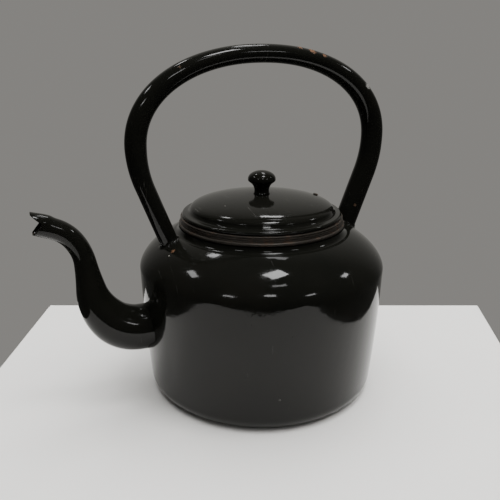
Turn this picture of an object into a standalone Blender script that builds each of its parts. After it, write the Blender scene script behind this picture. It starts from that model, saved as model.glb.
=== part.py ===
"""Black enamelled hob kettle with a swan-neck spout and a fixed hoop handle.

Frame: metres, +Z up, origin at the centre of the flat underside. The spout points
along -X and the handle hoop stands in the XZ plane. Every outline is a list of
(radius, height) points, and every radius is measured from the axis that it turns about.
"""
import math

import bmesh
import bpy
from mathutils import Matrix, Vector

# ---- kettle body -------------------------------------------------------------------
BODY_BASE_RADIUS = 0.0971
BODY_RADIUS = 0.1025
BODY_WIDEST_HEIGHT = 0.1079
SHOULDER_HEIGHT = 0.1400
SHOULDER_CROWN_RADIUS = 0.0568
SHOULDER_EXPONENT = 1.60
BASE_CORNER_RADIUS = 0.0130
BODY_WALL = 0.0030
BASE_WALL = 0.0040
SIDE_BULGE = 0.62

# ---- neck, its seat and the turned neck ring ------------------------------------------
NECK_BORE_RADIUS = 0.0595
LIP_WALL = 0.0028
LIP_HEIGHT = 0.0054
SEAT_WIDTH = 0.0067
SEAT_RISE = 0.0006
NECK_FILLET = 0.0042
RING_BEAD_RADIUS = 0.0015
RING_BAND_WIDTH = 0.0052
RING_BAND_RISE = 0.0046
RING_CROWN = 0.0022
GROOVE_DEPTH = 0.0004
GROOVE_PITCH = 0.0016

# ---- lid -------------------------------------------------------------------------------
LID_OVERLAP = 0.0066
LID_BEAD_RISE = 0.0029
LID_CREST_INSET = 0.0026
DOME_INSET = 0.0066
DOME_FOOT_RISE = 0.0055
DOME_RISE = 0.0115
LID_WALL = 0.0025
LID_RIM_LAND = 0.0035
SKIRT_PLAY = 0.0015
SKIRT_WALL = 0.0015
SKIRT_DEPTH = 0.0090

# ---- knob and its fastening -------------------------------------------------------------
KNOB_RADIUS = 0.0115
KNOB_NECK_RADIUS = 0.0061
KNOB_HEIGHT = 0.0190
STUD_RADIUS = 0.0022
STUD_TAIL = 0.0008
STUD_GRIP = 0.0110
KNOB_WASHER_RADIUS = 0.0080
KNOB_WASHER_THICKNESS = 0.0012
KNOB_NUT_RADIUS = 0.0046
KNOB_NUT_HEIGHT = 0.0040
VENT_PLACE = 0.0500
VENT_BORE = 0.0007
VENT_WALL = 0.0008
VENT_FLANGE = 0.0010
VENT_PROUD = 0.0009

# ---- swan-neck spout ----------------------------------------------------------------------
SPOUT_AXIS_HEIGHT = 0.0627
SPOUT_ROOT_RADIUS = 0.0187
SPOUT_TIP_RADIUS = 0.0082
SPOUT_WALL = 0.0022
SPOUT_INSIDE = 0.0045
SPOUT_ROOT_RUN = 0.0061
LOWER_BENDS = ((48.0, 0.032), (35.0, 0.050))
SPOUT_NECK_RUN = 0.0224
UPPER_BENDS = ((-27.0, 0.0425), (-35.5, 0.0295))
SPOUT_MOUTH_RUN = 0.0157
TAPER_START = 0.0195
TAPER_LENGTH = 0.0850
BEAK_DEPTH = 0.0064
BEAK_LIP = 0.0008
RETAINER_WIDTH = 0.0045
RETAINER_THICKNESS = 0.0022

# ---- hoop handle -----------------------------------------------------------------------------
HOOP_HALF_WIDTH = 0.1022
HOOP_WIDEST_HEIGHT = 0.2084
HOOP_CROWN_HEIGHT = 0.2761
HOOP_EXPONENT = 2.14
LEG_BEND_RADIUS = 0.088
LEG_LEAN = math.radians(20.6)
CROWN_HALF_HEIGHT = 0.0071
CROWN_HALF_WIDTH = 0.0090
FRONT_SIDE_RADIUS = 0.0084
REAR_SIDE_RADIUS = 0.0092
FRONT_LEG_RADIUS = 0.0075
REAR_LEG_RADIUS = 0.0094
TUBE_WALL = 0.0015
PLUG_RISE = 0.0030
PLUG_LENGTH = 0.0120
SHANK_RADIUS = 0.0029
SHANK_HEAD_RADIUS = 0.0052
SHANK_HEAD_HEIGHT = 0.0024
FOOT_WASHER_RADIUS = 0.0085
FOOT_WASHER_THICKNESS = 0.0020
BRAZE_WIDTH = 0.0024
BRAZE_HEIGHT = 0.0030

# ---- fits and fineness --------------------------------------------------------------------------
GAP = 0.0003
ROUND_SIDES = 48
SMALL_SIDES = 20
SPOUT_SIDES = 20
TUBE_SIDES = 16
MERGE = 0.000001
OVERSHOOT = 0.010

# ---- heights and radii that follow from the sizes above --------------------------------------------
LIP_RADIUS = NECK_BORE_RADIUS + LIP_WALL
SEAT_RADIUS = LIP_RADIUS + SEAT_WIDTH
SEAT_HEIGHT = SHOULDER_HEIGHT + SEAT_RISE
LIP_TOP = SEAT_HEIGHT + LIP_HEIGHT
RING_BASE = SEAT_HEIGHT + GAP
BAND_RADIUS = LIP_RADIUS + RING_BAND_WIDTH
BAND_BASE = RING_BASE + 2.0 * RING_BEAD_RADIUS
RING_TOP = max(BAND_BASE + RING_BAND_RISE, LIP_TOP + GAP + RING_CROWN)
LID_BASE = RING_TOP + GAP
LID_RADIUS = NECK_BORE_RADIUS + LID_OVERLAP
DOME_RADIUS = LID_RADIUS - DOME_INSET
DOME_BASE = LID_BASE + DOME_FOOT_RISE
DOME_APEX = DOME_BASE + DOME_RISE
SKIRT_RADIUS = NECK_BORE_RADIUS - SKIRT_PLAY
STUD_HOLE = STUD_RADIUS + GAP
SHANK_HOLE = SHANK_RADIUS + GAP


def clear_scene():
    """Remove every object that the opened file holds."""
    for item in list(bpy.data.objects):
        bpy.data.objects.remove(item, do_unlink=True)


def material(name, colour, roughness, metallic):
    """Make a Principled material."""
    made = bpy.data.materials.new(name)
    made.use_nodes = True
    shader = made.node_tree.nodes["Principled BSDF"]
    shader.inputs["Base Color"].default_value = (*colour, 1.0)
    shader.inputs["Roughness"].default_value = roughness
    shader.inputs["Metallic"].default_value = metallic
    return made


def add_object(name, mesh, surface):
    """Link a finished bmesh into the scene as a named object with its material."""
    bmesh.ops.remove_doubles(mesh, verts=mesh.verts, dist=MERGE)
    bmesh.ops.recalc_face_normals(mesh, faces=mesh.faces)
    data = bpy.data.meshes.new(name)
    mesh.to_mesh(data)
    mesh.free()
    data.shade_smooth()
    data.set_sharp_from_angle(angle=math.radians(35.0))
    data.materials.append(surface)
    made = bpy.data.objects.new(name, data)
    bpy.context.collection.objects.link(made)
    return made


def turned(name, outline, surface, sides=ROUND_SIDES):
    """Turn a closed (radius, height) outline about the object's own Z axis."""
    mesh = bmesh.new()
    points = [mesh.verts.new((radius, 0.0, height)) for radius, height in outline]
    edges = [mesh.edges.new((points[i - 1], points[i])) for i in range(len(points))]
    on_axis = [edge for edge in edges if all(vert.co.x < MERGE for vert in edge.verts)]
    rim = [edge for edge in edges if edge not in on_axis]
    bmesh.ops.spin(mesh, geom=points + rim, cent=(0.0, 0.0, 0.0), axis=(0.0, 0.0, 1.0),
                   angle=2.0 * math.pi, steps=sides, use_merge=True)
    bmesh.ops.delete(mesh, geom=[edge for edge in mesh.edges if not edge.link_faces], context="EDGES")
    return add_object(name, mesh, surface)


def stand_on(item, point, direction):
    """Put an object's origin at a point with its own Z axis along a direction."""
    item.location = point
    item.rotation_mode = "QUATERNION"
    item.rotation_quaternion = Vector((0.0, 0.0, 1.0)).rotation_difference(direction)


def hide_tool(tool):
    """Keep a cutter out of the finished object."""
    tool.hide_render = True
    tool.display_type = "WIRE"


def boolean(item, tool, operation="DIFFERENCE"):
    """Cut an object with a tool by an exact Boolean modifier."""
    cut = item.modifiers.new(tool.name, "BOOLEAN")
    cut.object = tool
    cut.operation = operation
    cut.solver = "EXACT"


def arc(centre, radius, start, end, steps):
    """Points on a circular arc, angles in degrees from the +radius direction."""
    turns = [math.radians(start + (end - start) * i / steps) for i in range(steps + 1)]
    return [(centre[0] + radius * math.cos(t), centre[1] + radius * math.sin(t)) for t in turns]


# ---- body ----------------------------------------------------------------------------------------
def side_radius(share, inset):
    """Radius of the side wall at a share of its height, pulled in by an inset."""
    bulge = (1.0 - SIDE_BULGE) * share + SIDE_BULGE * (2.0 * share - share * share)
    return BODY_BASE_RADIUS + (BODY_RADIUS - BODY_BASE_RADIUS) * bulge - inset


def shoulder_height(radius, inset=0.0):
    """Height of the shoulder above a radius, for the skin pulled in by an inset."""
    reach = BODY_RADIUS - inset - SHOULDER_CROWN_RADIUS
    share = min(1.0, max(0.0, radius - SHOULDER_CROWN_RADIUS) / reach)
    rise = SHOULDER_HEIGHT - inset - BODY_WIDEST_HEIGHT
    return BODY_WIDEST_HEIGHT + rise * (1.0 - share ** SHOULDER_EXPONENT) ** (1.0 / SHOULDER_EXPONENT)


def corner_points(inset, floor, steps):
    """Rounded corner between the base and the side."""
    radius = max(BASE_CORNER_RADIUS - inset, BODY_WALL)
    centre = (BODY_BASE_RADIUS - inset - radius, floor + radius)
    return arc(centre, radius, -90.0, 0.0, steps)


def side_points(inset, floor, steps):
    """Slightly bulged side from the corner up to the widest height."""
    low = corner_points(inset, floor, 1)[-1][1]
    rise = BODY_WIDEST_HEIGHT - low
    shares = [(i + 1) / steps for i in range(steps)]
    return [(side_radius(share, inset), low + rise * share) for share in shares]


def shoulder_points(inset, inner_radius, steps):
    """Shoulder from the widest height in to an inner radius."""
    reach = BODY_RADIUS - inset - SHOULDER_CROWN_RADIUS
    last = math.acos(((inner_radius - SHOULDER_CROWN_RADIUS) / reach) ** (SHOULDER_EXPONENT / 2.0))
    turns = [last * (i + 1) / steps for i in range(steps)]
    radii = [SHOULDER_CROWN_RADIUS + reach * math.cos(t) ** (2.0 / SHOULDER_EXPONENT) for t in turns]
    return [(radius, shoulder_height(radius, inset)) for radius in radii]


def cavity_outline(inset):
    """Closed outline of the body's hollow, up to the bore of the neck."""
    floor = BASE_WALL + inset - BODY_WALL
    points = [(0.0, floor)] + corner_points(inset, floor, 4) + side_points(inset, floor, 5)
    points += shoulder_points(inset, NECK_BORE_RADIUS, 10)
    return points + [(0.0, points[-1][1])]


def outer_points(inset, floor):
    """Outside of the body from the centre of its base to the edge of the neck's seat."""
    seat_radius = SEAT_RADIUS - inset
    seat_height = SEAT_HEIGHT - inset
    fillet_start = seat_radius + NECK_FILLET
    rise = seat_height - shoulder_height(fillet_start, inset)
    points = [(0.0, floor)] + corner_points(inset, floor, 4) + side_points(inset, floor, 5)
    points += shoulder_points(inset, fillet_start, 8)
    turns = [math.radians(30.0 * i) for i in (1, 2, 3)]
    return points + [(fillet_start - NECK_FILLET * math.sin(t), seat_height - rise * math.cos(t)) for t in turns]


def body_outline():
    """Closed outline of the body casting: skin, neck fillet, seat, lip and hollow."""
    lip = [(LIP_RADIUS, SEAT_HEIGHT), (LIP_RADIUS, LIP_TOP), (NECK_BORE_RADIUS, LIP_TOP)]
    inner = list(reversed(shoulder_points(BODY_WALL, NECK_BORE_RADIUS, 6)))
    inner += list(reversed(side_points(BODY_WALL, BASE_WALL, 3)))
    inner += list(reversed(corner_points(BODY_WALL, BASE_WALL, 3)))
    return outer_points(0.0, 0.0) + lip + inner + [(0.0, BASE_WALL)]


# ---- neck ring ----------------------------------------------------------------------------------------
def groove(height):
    """A fine turned groove in the ring's band."""
    half = GROOVE_DEPTH
    return [(BAND_RADIUS, height - half), (BAND_RADIUS - GROOVE_DEPTH, height), (BAND_RADIUS, height + half)]


def neck_ring_outline():
    """Inverted L that caps the lip, with a bead at its foot and two grooves."""
    bead_centre = (BAND_RADIUS, RING_BASE + RING_BEAD_RADIUS)
    points = [(LIP_RADIUS + GAP, RING_BASE)] + arc(bead_centre, RING_BEAD_RADIUS, -90.0, 90.0, 6)
    for number in (1, 2):
        points += groove(BAND_BASE + number * GROOVE_PITCH)
    edge = GROOVE_DEPTH
    points += [(BAND_RADIUS, RING_TOP - edge), (BAND_RADIUS - edge, RING_TOP), (NECK_BORE_RADIUS, RING_TOP)]
    return points + [(NECK_BORE_RADIUS, LIP_TOP + GAP), (LIP_RADIUS + GAP, LIP_TOP + GAP)]


# ---- lid ------------------------------------------------------------------------------------------------
def dome_points(radius, base, rise, first, last, steps):
    """Points on a dome's elliptical section between two radii."""
    angles = [math.acos(first / radius), math.acos(min(1.0, last / radius))]
    turns = [angles[0] + (angles[1] - angles[0]) * i / steps for i in range(steps + 1)]
    return [(radius * math.cos(t), base + rise * math.sin(t)) for t in turns]


def lid_outline():
    """Domed lid with a concave foot, a crest, a beaded rim and a hollow underside."""
    top = dome_points(DOME_RADIUS, DOME_BASE, DOME_RISE, STUD_HOLE, DOME_RADIUS, 9)
    crest = (LID_RADIUS - LID_CREST_INSET, LID_BASE + LID_BEAD_RISE)
    hollow = (DOME_RADIUS + (crest[0] - DOME_RADIUS) * 0.35, crest[1] + (DOME_BASE - crest[1]) * 0.25)
    bead = LID_BEAD_RISE / 2.0
    rim = arc((LID_RADIUS - bead, LID_BASE + bead), bead, 75.0, -75.0, 4)
    land = SKIRT_RADIUS - SKIRT_WALL - GAP
    inner_base = LID_BASE + LID_RIM_LAND
    inner_rise = DOME_APEX - LID_WALL - inner_base
    under = dome_points(land, inner_base, inner_rise, land, STUD_HOLE, 6)
    return top + [hollow, crest] + rim + [(LID_RADIUS - 2.0 * bead, LID_BASE), (land, LID_BASE)] + under


def ring_outline(inner, outer, low, high):
    """Plain rectangular ring section."""
    return [(inner, low), (outer, low), (outer, high), (inner, high)]


def drill(name, radius, low, high, sides=SMALL_SIDES):
    """Hidden cylinder that cuts a hole, from one height to another on its own axis."""
    tool = turned(name, ring_outline(0.0, radius, low, high), BARE_IRON, sides)
    hide_tool(tool)
    return tool


def knob_outline():
    """Mushroom knob with a blind bore for the stud, from its foot at height 0."""
    shares = ((1.10, 0.00), (1.0, 0.09), (1.05, 0.24), (1.28, 0.41))
    stem = [(KNOB_NECK_RADIUS * wide, KNOB_HEIGHT * high) for wide, high in shares]
    crown = KNOB_HEIGHT * 0.64
    lower = [(KNOB_RADIUS * 0.90, KNOB_HEIGHT * 0.53)]
    upper = dome_points(KNOB_RADIUS, crown, KNOB_HEIGHT - crown, KNOB_RADIUS, 0.0, 5)
    bore = [(0.0, STUD_GRIP + GAP), (STUD_HOLE, STUD_GRIP + GAP), (STUD_HOLE, 0.0)]
    return stem + lower + upper + bore


def build_lid():
    """Lid shell, skirt, knob, stud, washer, nut and steam vent."""
    lid = turned("lid_shell", lid_outline(), ENAMEL)
    skirt = ring_outline(SKIRT_RADIUS - SKIRT_WALL, SKIRT_RADIUS, LID_BASE - GAP - SKIRT_DEPTH, LID_BASE - GAP)
    turned("lid_skirt", skirt, BARE_IRON)
    foot = DOME_APEX + GAP
    turned("lid_knob", knob_outline(), ENAMEL, SMALL_SIDES).location.z = foot
    under = DOME_APEX - LID_WALL - GAP
    washer = ring_outline(STUD_HOLE, KNOB_WASHER_RADIUS, under - KNOB_WASHER_THICKNESS, under)
    turned("knob_washer", washer, BARE_IRON, SMALL_SIDES)
    nut_top = under - KNOB_WASHER_THICKNESS - GAP
    nut = ring_outline(0.0, KNOB_NUT_RADIUS, nut_top - KNOB_NUT_HEIGHT, nut_top)
    boolean(turned("knob_nut", nut, BARE_IRON, 6), drill("stud_hole_tool", STUD_HOLE, nut_top - OVERSHOOT, foot))
    tail = nut_top - KNOB_NUT_HEIGHT - STUD_TAIL
    turned("knob_stud", ring_outline(0.0, STUD_RADIUS, tail, foot + STUD_GRIP), BARE_IRON, SMALL_SIDES)
    build_vent(lid)


def build_vent(lid):
    """Steam-vent eyelet through the dome, square to its surface, opposite the spout."""
    depth = math.sqrt(max(0.0, 1.0 - (VENT_PLACE / DOME_RADIUS) ** 2))
    place = Vector((VENT_PLACE, 0.0, DOME_BASE + DOME_RISE * depth))
    normal = Vector((VENT_PLACE / DOME_RADIUS ** 2, 0.0, depth / DOME_RISE)).normalized()
    tube = VENT_BORE + VENT_WALL
    tail = -2.0 * LID_WALL
    outline = [(VENT_BORE, tail), (tube, tail), (tube, 0.0), (tube, GAP), (tube + VENT_FLANGE, GAP + VENT_WALL / 4.0),
               (tube, VENT_PROUD + GAP), (VENT_BORE, VENT_PROUD + GAP)]
    stand_on(turned("vent_eyelet", outline, BARE_IRON, SMALL_SIDES), place, normal)
    tool = drill("vent_hole_tool", tube + GAP, -OVERSHOOT, OVERSHOOT)
    stand_on(tool, place, normal)
    boolean(lid, tool)


# ---- swept tubes -----------------------------------------------------------------------------------------
def add_ring(mesh, station, inset, sides):
    """One oval ring of points, square to a tangent that lies in the XZ plane."""
    centre, tangent, in_plane, sideways = station
    across = Vector((-tangent.z, 0.0, tangent.x))
    turn = Matrix((across, Vector((0.0, 1.0, 0.0)), tangent)).transposed().to_4x4()
    size = Matrix.Diagonal((in_plane - inset, sideways - inset, 1.0, 1.0))
    place = Matrix.Translation(centre) @ turn @ size
    return bmesh.ops.create_circle(mesh, segments=sides, radius=1.0, matrix=place)["verts"]


def join_rings(mesh, first, second):
    """Fill the band between two rings with one quad for each side."""
    for i in range(len(first)):
        mesh.faces.new((first[i - 1], first[i], second[i], second[i - 1]))


def swept_tube(name, stations, wall, surface, sides):
    """Hollow tube through stations of (centre, tangent, in-plane radius, sideways radius)."""
    mesh = bmesh.new()
    outer = [add_ring(mesh, station, 0.0, sides) for station in stations]
    inner = [add_ring(mesh, station, wall, sides) for station in stations]
    rings = outer + list(reversed(inner))
    for i in range(len(rings)):
        join_rings(mesh, rings[i - 1], rings[i])
    return add_object(name, mesh, surface)


# ---- spout ---------------------------------------------------------------------------------------------------
def bend(path, degrees, radius):
    """Add a circular bend to a path of (reach, height, heading, length)."""
    steps = max(2, round(abs(degrees) / 9.0))
    for _ in range(steps):
        reach, height, heading, length = path[-1]
        turn = math.radians(degrees) / steps
        chord = 2.0 * radius * math.sin(abs(turn) / 2.0)
        middle = heading + turn / 2.0
        path.append((reach + chord * math.cos(middle), height + chord * math.sin(middle),
                     heading + turn, length + radius * abs(turn)))


def run(path, distance, steps=1):
    """Add a straight run to a path."""
    for _ in range(steps):
        reach, height, heading, length = path[-1]
        part = distance / steps
        path.append((reach + part * math.cos(heading), height + part * math.sin(heading),
                     heading, length + part))


def spout_path():
    """Centreline of the spout, from just inside the body wall out to the mouth."""
    share = (SPOUT_AXIS_HEIGHT - BASE_CORNER_RADIUS) / (BODY_WIDEST_HEIGHT - BASE_CORNER_RADIUS)
    wall = side_radius(share, 0.0)
    path = [(wall - BODY_WALL - SPOUT_INSIDE, SPOUT_AXIS_HEIGHT, 0.0, 0.0)]
    run(path, SPOUT_INSIDE + BODY_WALL + SPOUT_ROOT_RUN, 2)
    for degrees, radius in LOWER_BENDS:
        bend(path, degrees, radius)
    run(path, SPOUT_NECK_RUN, 2)
    for degrees, radius in UPPER_BENDS:
        bend(path, degrees, radius)
    run(path, SPOUT_MOUTH_RUN, 1)
    return path


def spout_radius(length):
    """Outer radius along the spout: full at the root, easing down to the neck."""
    share = min(1.0, max(0.0, (length - TAPER_START) / TAPER_LENGTH))
    ease = (1.0 + math.cos(math.pi * share)) / 2.0
    return SPOUT_TIP_RADIUS + (SPOUT_ROOT_RADIUS - SPOUT_TIP_RADIUS) * ease


def build_spout(body):
    """Spout with its beak mouth, the hole that it passes through and its retainer."""
    path = spout_path()
    stations = []
    for reach, height, heading, length in path:
        radius = spout_radius(length)
        tangent = Vector((-math.cos(heading), 0.0, math.sin(heading)))
        stations.append((Vector((-reach, 0.0, height)), tangent, radius, radius))
    stations[-1] = upright_mouth(stations[-1])
    spout = swept_tube("spout", stations, SPOUT_WALL, ENAMEL, SPOUT_SIDES)
    cut_beak(spout, stations[-1])
    root = stations[0][0]
    outward = Vector((-1.0, 0.0, 0.0))
    hole_radius = SPOUT_ROOT_RADIUS + GAP
    tool = drill("spout_hole_tool", hole_radius, -OVERSHOOT, 3.0 * OVERSHOOT, SPOUT_SIDES)
    stand_on(tool, root, outward)
    boolean(body, tool)
    build_retainer(root, outward, hole_radius)


def upright_mouth(station):
    """The last station turned upright, which trims both lips to the same reach."""
    centre, tangent, in_plane, sideways = station
    return centre, Vector((-1.0, 0.0, 0.0)), in_plane / -tangent.x, sideways


def cut_beak(spout, mouth):
    """Cut a wedge across the mouth, which leaves an upper and a lower lip."""
    centre, tangent, radius, _ = mouth
    across = Vector((-tangent.z, 0.0, tangent.x))
    tip = radius - BEAK_LIP
    slope = tip / BEAK_DEPTH
    far = BEAK_DEPTH + OVERSHOOT
    notch = centre - tangent * BEAK_DEPTH
    mesh = bmesh.new()
    corners = [notch, notch + tangent * far + across * slope * far, notch + tangent * far - across * slope * far]
    side = Vector((0.0, 2.0 * radius, 0.0))
    face = mesh.faces.new([mesh.verts.new(corner - side) for corner in corners])
    grown = bmesh.ops.extrude_face_region(mesh, geom=[face])
    raised = [item for item in grown["geom"] if isinstance(item, bmesh.types.BMVert)]
    bmesh.ops.translate(mesh, verts=raised, vec=2.0 * side)
    wedge = add_object("beak_tool", mesh, ENAMEL)
    hide_tool(wedge)
    boolean(spout, wedge)


def build_retainer(root, outward, hole_radius):
    """Ring brazed round the spout's inner end, shaped to the inside of the wall."""
    outer = hole_radius + RETAINER_WIDTH
    start = SPOUT_INSIDE - GAP - RETAINER_THICKNESS
    outline = ring_outline(hole_radius, outer, max(GAP, start - RETAINER_THICKNESS), SPOUT_INSIDE + OVERSHOOT)
    ring = turned("spout_retainer", outline, BARE_IRON, SPOUT_SIDES)
    stand_on(ring, root, outward)
    boolean(ring, CAVITY, "INTERSECT")


# ---- handle --------------------------------------------------------------------------------------------------
def leg_start():
    """Where the leg's bend ends: (half width, height) on the hoop's centreline."""
    inward = LEG_BEND_RADIUS * (1.0 - math.cos(LEG_LEAN))
    return HOOP_HALF_WIDTH - inward, HOOP_WIDEST_HEIGHT - LEG_BEND_RADIUS * math.sin(LEG_LEAN)


def foot_point():
    """Where the leg's centreline meets the shoulder: (radius, height)."""
    radius, height = leg_start()
    low = 0.0
    high = height
    for _ in range(40):
        middle = (low + high) / 2.0
        above = height - middle * math.cos(LEG_LEAN) > shoulder_height(radius - middle * math.sin(LEG_LEAN))
        low, high = (middle, high) if above else (low, middle)
    return radius - low * math.sin(LEG_LEAN), height - low * math.cos(LEG_LEAN)


def half_hoop(side_radius, leg_radius):
    """Stations down one side of the hoop, from the crown to below the shoulder."""
    rise = HOOP_CROWN_HEIGHT - HOOP_WIDEST_HEIGHT
    stations = []
    for i in range(12):
        turn = math.pi / 2.0 * (1.0 - i / 11.0)
        ease = math.sin(turn) ** 2
        x = HOOP_HALF_WIDTH * max(0.0, math.cos(turn)) ** (2.0 / HOOP_EXPONENT)
        z = HOOP_WIDEST_HEIGHT + rise * max(0.0, math.sin(turn)) ** (2.0 / HOOP_EXPONENT)
        in_plane = side_radius + (CROWN_HALF_HEIGHT - side_radius) * ease
        sideways = side_radius + (CROWN_HALF_WIDTH - side_radius) * ease
        stations.append((x, z, in_plane, sideways))
    for share in (0.25, 0.5, 0.75, 1.0):
        turn = LEG_LEAN * share
        x = HOOP_HALF_WIDTH - LEG_BEND_RADIUS * (1.0 - math.cos(turn))
        z = HOOP_WIDEST_HEIGHT - LEG_BEND_RADIUS * math.sin(turn)
        radius = side_radius + (leg_radius - side_radius) * share
        stations.append((x, z, radius, radius))
    foot_x, foot_z = foot_point()
    end = (foot_x - OVERSHOOT * math.sin(LEG_LEAN), foot_z - OVERSHOOT * math.cos(LEG_LEAN))
    return stations + [(*end, leg_radius, leg_radius)]


def hoop_stations():
    """Whole hoop as (centre, tangent, in-plane radius, sideways radius), front to rear."""
    rear = half_hoop(REAR_SIDE_RADIUS, REAR_LEG_RADIUS)
    front = [(-x, z, a, b) for x, z, a, b in reversed(half_hoop(FRONT_SIDE_RADIUS, FRONT_LEG_RADIUS))]
    line = front + rear[1:]
    points = [Vector((x, 0.0, z)) for x, z, _, _ in line]
    stations = []
    for i, (_, _, in_plane, sideways) in enumerate(line):
        before = points[max(0, i - 1)]
        after = points[min(len(points) - 1, i + 1)]
        stations.append((points[i], (after - before).normalized(), in_plane, sideways))
    return stations


def build_handle(body):
    """Hollow hoop, and for each foot its spigot, washer and braze fillet."""
    hoop = swept_tube("handle_hoop", hoop_stations(), TUBE_WALL, ENAMEL, TUBE_SIDES)
    boolean(hoop, SHOULDER_TOOL)
    build_foot("front", -1.0, FRONT_LEG_RADIUS, body)
    build_foot("rear", 1.0, REAR_LEG_RADIUS, body)


def washer_base():
    """Level of the taper washer's flat underside, along the leg from the foot point."""
    foot_x, foot_z = foot_point()
    levels = []
    for end in (-FOOT_WASHER_RADIUS, FOOT_WASHER_RADIUS):
        x = foot_x + end * math.cos(LEG_LEAN)
        fall = shoulder_height(x, BODY_WALL) - foot_z
        levels.append((x - foot_x) * math.sin(LEG_LEAN) + fall * math.cos(LEG_LEAN))
    return min(levels) - GAP - FOOT_WASHER_THICKNESS


def spigot_outline(leg_radius):
    """Plug inside the tube, shank through the shoulder, and peened head below the washer."""
    seat = washer_base() - GAP
    turns = [math.radians(22.5 * i) for i in range(5)]
    head = [(SHANK_HEAD_RADIUS * math.sin(t), seat - SHANK_HEAD_HEIGHT * math.cos(t)) for t in turns]
    plug = (leg_radius - TUBE_WALL) * math.cos(math.pi / TUBE_SIDES) - GAP
    top = PLUG_RISE + PLUG_LENGTH
    return head + [(SHANK_RADIUS, seat), (SHANK_RADIUS, PLUG_RISE), (plug, PLUG_RISE), (plug, top), (0.0, top)]


def braze_outline(leg_radius):
    """Concave fillet round the foot, deep enough below to be cut to the shoulder."""
    outer = leg_radius + BRAZE_WIDTH
    turns = [math.radians(22.5 * i) for i in range(5)]
    sweep = [(outer - BRAZE_WIDTH * math.sin(t), BRAZE_HEIGHT * (1.0 - math.cos(t)) + GAP) for t in turns]
    core = leg_radius / 2.0
    return [(core, -OVERSHOOT), (outer, -OVERSHOOT), *sweep, (core, sweep[-1][1])]


def build_foot(name, side, leg_radius, body):
    """Everything that fastens one foot of the hoop to the shoulder."""
    foot_x, foot_z = foot_point()
    place = Vector((side * foot_x, 0.0, foot_z))
    upward = Vector((side * math.sin(LEG_LEAN), 0.0, math.cos(LEG_LEAN)))
    step = GAP
    slope = (shoulder_height(foot_x - step) - shoulder_height(foot_x + step)) / (2.0 * step)
    normal = Vector((side * slope, 0.0, 1.0)).normalized()
    stand_on(turned("handle_spigot_" + name, spigot_outline(leg_radius), BARE_IRON, SMALL_SIDES), place, upward)
    taper = ring_outline(SHANK_HOLE, FOOT_WASHER_RADIUS, washer_base(), OVERSHOOT)
    washer = turned("handle_washer_" + name, taper, BARE_IRON, SMALL_SIDES)
    stand_on(washer, place, upward)
    boolean(washer, CAVITY, "INTERSECT")
    braze = turned("handle_braze_" + name, braze_outline(leg_radius), ENAMEL, SMALL_SIDES)
    stand_on(braze, place, normal)
    leg = drill("leg_tool_" + name, leg_radius + GAP, -2.0 * OVERSHOOT, 2.0 * OVERSHOOT)
    stand_on(leg, place, upward)
    boolean(braze, leg)
    boolean(braze, SHOULDER_TOOL)
    tool = drill("shank_hole_tool_" + name, SHANK_HOLE, -2.0 * OVERSHOOT, OVERSHOOT)
    stand_on(tool, place, upward)
    boolean(body, tool)


# ---- assembly ----------------------------------------------------------------------------------------------------
clear_scene()
ENAMEL = material("black_enamel", (0.012, 0.012, 0.011), 0.12, 0.0)
BARE_IRON = material("bare_iron", (0.090, 0.065, 0.045), 0.60, 0.80)
CAVITY = turned("cavity_tool", cavity_outline(BODY_WALL + GAP), BARE_IRON)
SHOULDER_TOOL = turned("shoulder_tool", outer_points(-GAP, -GAP) + [(0.0, SEAT_HEIGHT + GAP)], BARE_IRON)
hide_tool(CAVITY)
hide_tool(SHOULDER_TOOL)

BODY = turned("kettle_body", body_outline(), ENAMEL)
turned("neck_ring", neck_ring_outline(), BARE_IRON)
build_spout(BODY)
build_handle(BODY)
build_lid()
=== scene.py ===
"""Looks of a black enamelled hob kettle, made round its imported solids.

Frame: metres, +Z up, origin at the centre of the flat underside. The spout points
along -X and the hoop handle stands in the XZ plane. Outlines are lists of
(radius, height) points about the axis that they are spun round.
"""

import logging
import math
from dataclasses import dataclass
from enum import Enum

import bmesh
import bpy
from mathutils import Matrix, Vector


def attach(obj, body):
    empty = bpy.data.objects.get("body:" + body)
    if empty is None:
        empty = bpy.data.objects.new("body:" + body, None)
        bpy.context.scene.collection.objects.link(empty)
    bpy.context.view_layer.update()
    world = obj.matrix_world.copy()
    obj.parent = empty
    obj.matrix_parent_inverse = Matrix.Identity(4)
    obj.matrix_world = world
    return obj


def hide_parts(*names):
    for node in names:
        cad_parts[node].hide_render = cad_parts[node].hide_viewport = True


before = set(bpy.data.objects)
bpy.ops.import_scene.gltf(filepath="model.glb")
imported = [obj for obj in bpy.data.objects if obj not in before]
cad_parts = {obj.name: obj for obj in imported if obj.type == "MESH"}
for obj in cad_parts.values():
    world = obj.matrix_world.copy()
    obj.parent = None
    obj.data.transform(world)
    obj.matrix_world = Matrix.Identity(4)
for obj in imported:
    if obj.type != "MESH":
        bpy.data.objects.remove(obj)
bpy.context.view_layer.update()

LOG = logging.getLogger("kettle")
MERGE = 0.000001
SMALL_STEP = 0.0003

Outline = list[tuple[float, float]]
Colour = tuple[float, float, float]


class Rides(Enum):
    """The moving bodies that a piece can ride on."""

    KETTLE = "kettle"
    LID = "lid"


class Stain(Enum):
    """What shows where the enamel is damaged, as a linear colour."""

    RUST = (0.095, 0.046, 0.022)
    EARTH = (0.055, 0.032, 0.018)
    CHALK = (0.420, 0.400, 0.360)
    SCUFF = (0.150, 0.145, 0.135)


# ---- shaping -------------------------------------------------------------------------------


def arc(centre: tuple[float, float], radius: float, start: float, end: float, steps: int) -> Outline:
    """Points on a circular arc.

    Args:
        centre: centre as (radius, height).
        radius: radius of the arc.
        start: first angle in degrees from the outward direction.
        end: last angle in degrees.
        steps: number of equal steps.

    Returns:
        The points from start to end, both included.
    """
    turns = [math.radians(start + (end - start) * i / steps) for i in range(steps + 1)]
    return [(centre[0] + radius * math.cos(t), centre[1] + radius * math.sin(t)) for t in turns]


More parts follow.
